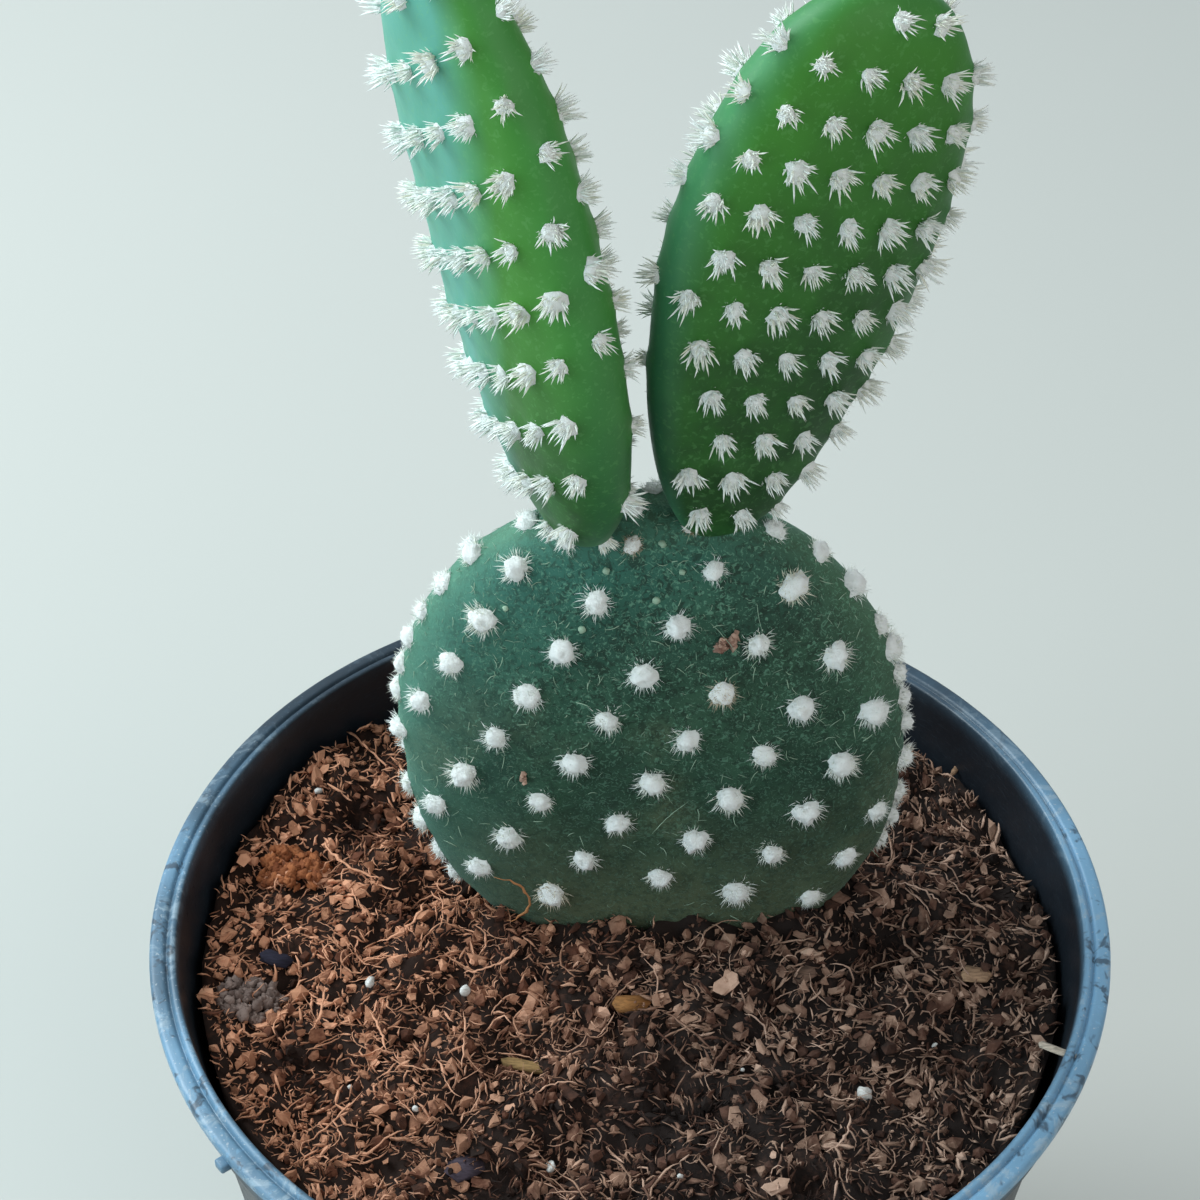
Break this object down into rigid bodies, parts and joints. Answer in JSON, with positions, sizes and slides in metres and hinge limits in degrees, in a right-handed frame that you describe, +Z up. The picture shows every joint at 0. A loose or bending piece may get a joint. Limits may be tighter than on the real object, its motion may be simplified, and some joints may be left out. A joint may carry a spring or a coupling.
{
  "type": "potted bunny ears cactus",
  "caption": "Bunny ears cactus in a round nursery pot: an upright oval pad in coarse soil carries two slimmer pads like ears, all dotted with tufts of short white bristles.",
  "frame": {"origin": "centre of the pot's foot, on the surface that the pot stands on", "axes": "+Z up along the pot's axis; the broad face of the lower pad looks along -Y; +X is to the right when it is seen from the front"},
  "size_m": [0.105, 0.105, 0.2005],
  "materials": {
    "pot_plastic": "thin black nursery pot plastic, slightly glossy, dusty on the rim",
    "soil": "loose dark brown peat and coconut fibre, rough and dull",
    "old_pad": "dull velvety blue-green cactus skin with white woolly tufts",
    "young_pad": "fresh green cactus skin with a soft sheen and white bristle tufts"
  },
  "bodies": {
    "root": {"pot": "pot_plastic", "soil": "soil", "base_pad": "old_pad", "right_ear": "young_pad", "left_ear": "young_pad"}
  },
  "joints": []
}
